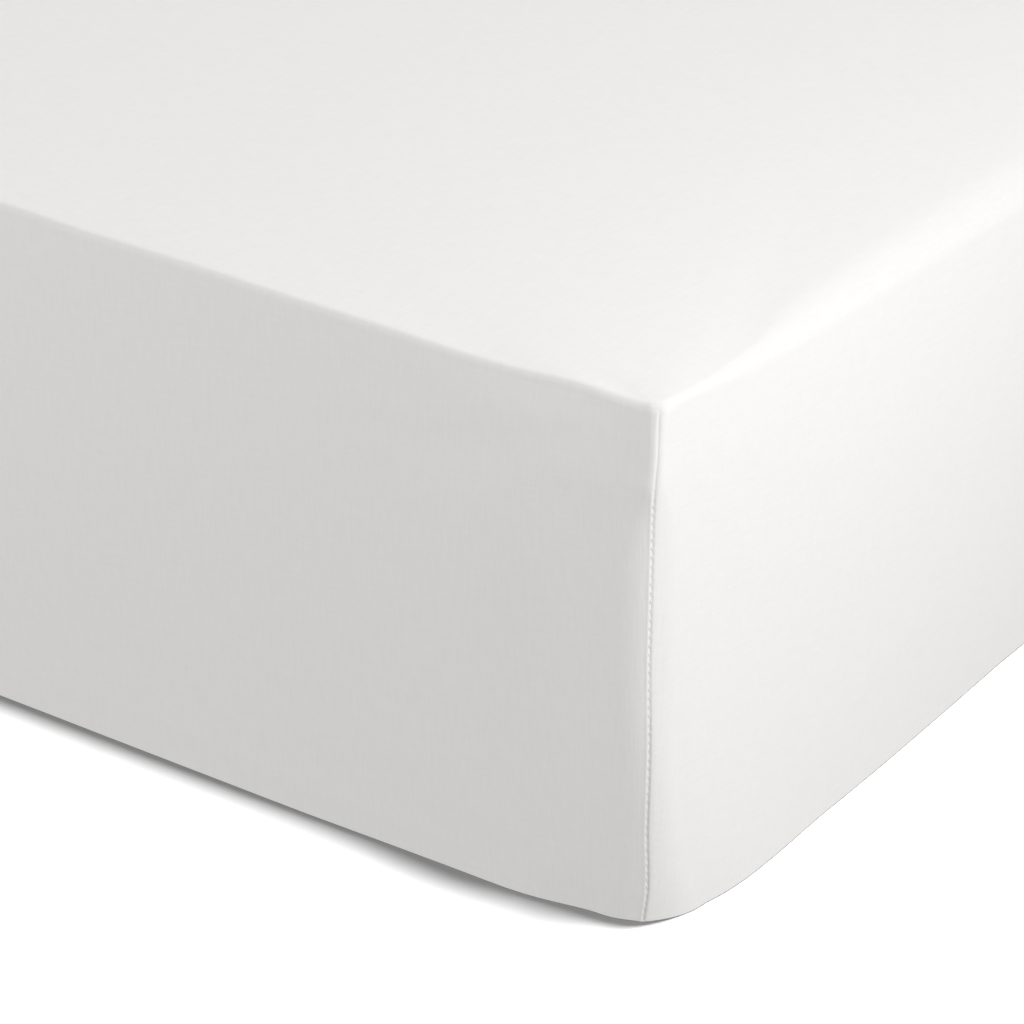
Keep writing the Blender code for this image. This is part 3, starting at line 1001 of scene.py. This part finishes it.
    def _seam_weight(self, row: Row) -> float:
        """How much of the seam's relief shows on a row, from 0 to 1."""
        if row.zone is Zone.ROLL:
            return max(0.0, (row.at - self.roll_seam) / (math.pi / 2 - self.roll_seam))
        if row.zone is Zone.HEEL:
            return 1 - self.heel_fade * row.at / (math.pi / 2)
        return float(row.zone is Zone.WALL)

    def _crease_relief(self, rings: Array) -> Array:
        """Relief of the skirts' drawn lines, as soft low ridges, [row, column]."""
        relief = np.zeros(rings.shape[:2])
        columns = self.columns
        for crease in CREASES:
            start = np.array([crease.along, crease.height])
            line = np.array([crease.to_along, crease.to_height]) - start
            length = np.linalg.norm(line)
            line = line / length
            here = np.flatnonzero((columns.side == crease.side) & ~columns.arc)
            along = np.broadcast_to(columns.along[here], (len(rings), len(here)))
            spot = np.stack([along, rings[:, here, 2]], 2) - start
            t = spot @ line / length
            across = spot @ np.array([-line[1], line[0]]) - crease.bow * 4 * t * (1 - t)
            ends = smooth_step(np.minimum(t, 1 - t) * 4)
            relief[:, here] += crease.proud * np.exp(-((across / crease.half_width) ** 2)) * ends
        return relief

    def _hem(self) -> Array:
        """The turned hem's rings: the cloth's end folded up and back on the tucked band."""
        radius = self.shape.hem_fold / 2
        turned = [math.radians(at) for at in range(30, 181, 30)]
        places = [(-radius * math.sin(at), radius * (1 - math.cos(at))) for at in turned]
        places += [(back, self.shape.hem_fold) for back in (self.hem_end, self.shape.hem_lap)]
        rings = np.stack([self.shape.ring(self.columns, Row(Zone.HEM, at)) for at, _ in places])
        rings[:, :, 2] = np.array([height for _, height in places])[:, None]
        return rings


@dataclass
class Stitching:
    """Lockstitches laid along guide lines by a node tree."""

    finish: ThreadFinish = SEWING_THREAD
    pitch: float = 0.0036
    length: float = 0.0012
    thickness: float = 0.00034
    lift: float = 0.00004  # how far the stitches' middles lie over the line
    smallest: float = 0.85  # range of the stitches' sizes
    largest: float = 1.1
    seed: int = 7

    def build(self, name: str, lines: Sequence[GuideLine]) -> Object:
        """Lay the stitches.

        Args:
            name: the piece's name.
            lines: the lines to follow.

        Returns:
            The stitches, as one plain mesh.
        """
        material = self.finish.build()
        piece = self._guides(name, lines)
        tree = self._tree(material)
        sockets = {item.name: item.identifier for item in tree.interface.items_tree
                   if item.in_out == "INPUT"}
        layer = piece.modifiers.new("stitches", "NODES")
        layer.node_group = tree
        values = {"Pitch": self.pitch, "Length": self.length, "Thickness": self.thickness,
                  "Seed": self.seed}
        for label, value in values.items():
            layer[sockets[label]] = value
        graph = bpy.context.evaluated_depsgraph_get()
        mesh = bpy.data.meshes.new_from_object(piece.evaluated_get(graph), depsgraph=graph)
        piece.modifiers.remove(layer)
        mesh.materials.clear()
        mesh.materials.append(material)
        mesh.polygons.foreach_set("material_index", [0] * len(mesh.polygons))
        guide, piece.data = piece.data, mesh
        bpy.data.meshes.remove(guide)
        bpy.data.node_groups.remove(tree)
        return piece

    def dress(self, piece: Object) -> None:
        """Let the stitches ride on the body."""
        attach(piece, "root")

    def _guides(self, name: str, lines: Sequence[GuideLine]) -> Object:
        """Make the guide lines as a mesh of edges that keeps the outward ways."""
        edges, start = [], 0
        for line in lines:
            end = start + len(line.points) - 1
            edges += [(step, step + 1) for step in range(start, end)]
            edges += [(end, start)] if line.closed else []
            start = end + 1
        mesh = bpy.data.meshes.new(name + "_guide")
        points = np.concatenate([line.points + line.ways * self.lift for line in lines])
        mesh.from_pydata(points.tolist(), edges, [])
        out = mesh.attributes.new("outward", "FLOAT_VECTOR", "POINT")
        ways = np.concatenate([line.ways for line in lines])
        out.data.foreach_set("vector", ways.astype(np.float32).ravel())
        return add_object(name, mesh)

    def _tree(self, material: Material) -> NodeTree:
        """Make the node tree: a low bead of thread at each pitch along the guides."""
        tree = bpy.data.node_groups.new("stitches_along_guides", "GeometryNodeTree")
        face = tree.interface
        face.new_socket("Geometry", in_out="INPUT", socket_type="NodeSocketGeometry")
        for label in ("Pitch", "Length", "Thickness"):
            face.new_socket(label, in_out="INPUT", socket_type="NodeSocketFloat")
        face.new_socket("Seed", in_out="INPUT", socket_type="NodeSocketInt")
        face.new_socket("Geometry", in_out="OUTPUT", socket_type="NodeSocketGeometry")
        board = Board(tree)
        given = tree.nodes.new("NodeGroupInput")
        guides, pitch, length, thickness, seed = (Wire(board, given.outputs[at]) for at in range(5))
        curve = board.add("GeometryNodeMeshToCurve", {}, {"Mesh": guides})
        spots = board.add("GeometryNodeResampleCurve", {"mode": "LENGTH"},
                          {"Curve": curve, "Length": pitch})
        thread = board.add("GeometryNodeMeshUVSphere", {},
                           {"Segments": 6, "Rings": 4, "Radius": 0.5})
        size = board.add("ShaderNodeCombineXYZ", {}, {"X": length, "Y": thickness, "Z": thickness})
        bar = board.add("GeometryNodeTransform", {}, {"Geometry": thread, "Scale": size})
        way = board.add("GeometryNodeInputNamedAttribute", {"data_type": "FLOAT_VECTOR"},
                        {"Name": "outward"})
        tangent = board.add("GeometryNodeInputTangent", {}, {})
        turn = board.add("FunctionNodeAxesToRotation", {"primary_axis": "X", "secondary_axis": "Z"},
                         {"Primary Axis": tangent, "Secondary Axis": way})
        sizes = {"Min_001": self.smallest, "Max_001": self.largest, "Seed": seed}
        scale = board.add("FunctionNodeRandomValue", {"data_type": "FLOAT"}, sizes, "Value_001")
        laid = board.add("GeometryNodeInstanceOnPoints", {},
                         {"Points": spots, "Instance": bar, "Rotation": turn, "Scale": scale})
        whole = board.add("GeometryNodeRealizeInstances", {}, {"Geometry": laid})
        smooth = board.add("GeometryNodeSetShadeSmooth", {}, {"Geometry": whole})
        done = board.add("GeometryNodeSetMaterial", {}, {"Geometry": smooth, "Material": material})
        board.feed(tree.nodes.new("NodeGroupOutput"), {0: done})
        return tree


@dataclass
class MattressBlock:
    """The plain mattress inside the sheet, which shows only from below."""

    shape: CoverShape
    finish: WovenFinish = TICKING
    cloth: float = 0.0015
    gap: float = 0.0020
    lift: float = 0.0018  # height of its underside over the floor
    bottom_edge: float = 0.03  # width of the ring round its underside
    ends: tuple[float, ...] = (0.02, 0.05, 0.09, 0.14, 0.21, 0.32, 0.45)
    sides: tuple[float, ...] = (0.02, 0.05, 0.09, 0.14, 0.21, 0.30, 0.42, 0.60, 0.80, 1.00)
    crown: tuple[float, ...] = (0.20, 0.12, 0.06, 0.02)
    wall: tuple[float, ...] = (0.15, 0.30, 0.45, 0.60, 0.75, 0.87, 0.95, 1.0)
    seam_columns: tuple[float, ...] = (0.002, 0.004)
    rest: int = 2

    def build(self) -> Object:
        """Model the block."""
        columns = self.shape.columns(self.ends, self.sides, self.seam_columns, self.rest)
        rows = (
            [Row(Zone.CROWN, at) for at in self.crown]
            + [Row(Zone.ROLL, math.radians(at)) for at in range(0, 91, 15)]
            + [Row(Zone.WALL, at) for at in self.wall]
        )
        rings = np.stack([self.shape.ring(columns, row, self.cloth + self.gap) for row in rows])
        rings[:, :, 2] = np.maximum(rings[:, :, 2], self.lift)
        inner = self.shape.ring(columns, Row(Zone.BAND, self.bottom_edge))
        inner[:, 2] = self.lift
        rings = np.concatenate([rings, inner[None]])
        block = RingSkin(self.shape, columns, rings, len(self.crown))
        return block.build("mattress_block", self.finish.build(), bottom=True)

    def dress(self, piece: Object) -> None:
        """Let the block ride on the body and stand for its solid."""
        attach(piece, "root")
        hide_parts("mattress")


# ---- studio ----
@dataclass(frozen=True)
class Lamp:
    """A soft studio light: a square area lamp aimed at the near corner."""

    name: str
    place: tuple[float, float, float]
    size: float
    power: float
    target: tuple[float, float, float] = (0.2, -0.8, 0.12)

    def build(self) -> None:
        """Make the lamp."""
        light = bpy.data.lights.new(self.name, "AREA")
        light.shape = "SQUARE"
        light.size = self.size
        light.energy = self.power
        lamp = add_object(self.name, light)
        lamp.location = self.place
        aim(lamp, Vector(self.target) - Vector(self.place))
        lamp.visible_camera = False


@dataclass
class Studio:
    """Floor, lights and camera."""

    camera_place: tuple[float, float, float] = (1.113, -1.996, 0.775)
    azimuth: float = 36.05
    elevation: float = 26.46
    focal_pixels: float = 3883.0
    sensor: float = 36.0
    near_clip: float = 0.05
    far_clip: float = 100.0
    floor_half: float = 20.0
    floor_drop: float = 0.0001
    dome_above: float = 0.294
    dome_below: float = 0.715  # the pale surroundings under the body
    floor_sun: float = 12.2
    floor_sun_angle: float = 6.8
    floor_sun_tilt: tuple[float, float] = (-11.0, -0.5)
    lamps: tuple[Lamp, ...] = (
        Lamp("low_right_softbox", (2.2, -0.8, 0.45), 0.8, 5.6),
        Lamp("near_right_softbox", (1.1, -1.0, 0.7), 0.5, 3.8),
        Lamp("high_back_softbox", (0.0, 1.2, 2.0), 1.6, 33.6),
        Lamp("high_left_softbox", (-1.2, -2.2, 1.5), 1.2, 19.8),
    )

    def build(self) -> None:
        """Make the floor, the lights and the camera."""
        self._floor_light(self._floor())
        self._world()
        for lamp in self.lamps:
            lamp.build()
        self._camera()
        bpy.context.scene.view_settings.view_transform = "Standard"

    def _floor(self) -> Object:
        """A plain floor just under the hem."""
        half = self.floor_half
        corners = np.array([[x * half, y * half, -self.floor_drop]
                            for x, y in ((-1, -1), (1, -1), (1, 1), (-1, 1))])
        floor = smooth_mesh("studio_floor", corners, np.array([[0, 1, 2, 3]]), None, FLOOR.build())
        floor.visible_diffuse = floor.visible_glossy = floor.visible_shadow = False
        return floor

    def _floor_light(self, floor: Object) -> None:
        """A light from almost straight above that brightens the floor alone."""
        light = bpy.data.lights.new("floor_sun", "SUN")
        light.energy = self.floor_sun
        light.angle = math.radians(self.floor_sun_angle)
        lamp = add_object("floor_sun", light)
        lean_x, lean_y = (math.tan(math.radians(tilt)) for tilt in self.floor_sun_tilt)
        aim(lamp, Vector((lean_x, lean_y, -1.0)))
        lit = bpy.data.collections.new("lit_by_floor_sun")
        lit.objects.link(floor)
        lamp.light_linking.receiver_collection = lit

    def _world(self) -> None:
        """A pale dome, brighter below, seen white by the camera."""
        world = bpy.data.worlds.new("studio_dome")
        world.use_nodes = True
        bpy.context.scene.world = world
        board = Board(world.node_tree)
        seen = board.add("ShaderNodeLightPath", {}, {}, "Is Camera Ray")
        way = board.add("ShaderNodeTexCoord", {}, {}, "Generated")
        height = board.add("ShaderNodeSeparateXYZ", {}, {"Vector": way}, "Z")
        above = board.add("ShaderNodeMath", {"operation": "GREATER_THAN"}, {0: height, 1: 0.0})
        dome = above * (self.dome_above - self.dome_below) + self.dome_below
        strength = seen * (1.0 - dome) + dome
        board.feed(world.node_tree.nodes["Background"],
                   {"Strength": strength, "Color": (1.0, 1.0, 1.0, 1.0)})

    def _camera(self) -> None:
        """The camera at the picture's viewing angle."""
        a, e = math.radians(self.azimuth), math.radians(self.elevation)
        back = Vector((math.sin(a) * math.cos(e), -math.cos(a) * math.cos(e), math.sin(e)))
        data = bpy.data.cameras.new("camera")
        data.sensor_width = self.sensor
        data.lens = self.focal_pixels * self.sensor / IMAGE_SIDE
        data.clip_start, data.clip_end = self.near_clip, self.far_clip
        camera = add_object("camera", data)
        camera.location = self.camera_place
        aim(camera, -back)
        bpy.context.scene.camera = camera


def main() -> None:
    """Build every piece in order and report it."""
    logging.basicConfig(level=logging.INFO, format="%(message)s")
    Studio().build()
    LOG.info("studio: floor, lights and camera")
    shape = CoverShape()
    sheet = SheetCloth(shape)
    cloth = sheet.build()
    sheet.dress(cloth)
    LOG.info("sheet: %d faces", len(cloth.data.polygons))
    for sewing, name, lines in (
        (Stitching(), "corner_stitches", sheet.seam_lines),
        (Stitching(length=0.0024, thickness=0.0003, lift=0.0), "hem_stitches", sheet.hem_lines),
    ):
        stitches = sewing.build(name, lines)
        sewing.dress(stitches)
        LOG.info("%s: %d faces", name, len(stitches.data.polygons))
    block = MattressBlock(shape)
    core = block.build()
    block.dress(core)
    LOG.info("mattress: %d faces", len(core.data.polygons))


if __name__ == "__main__":
    main()
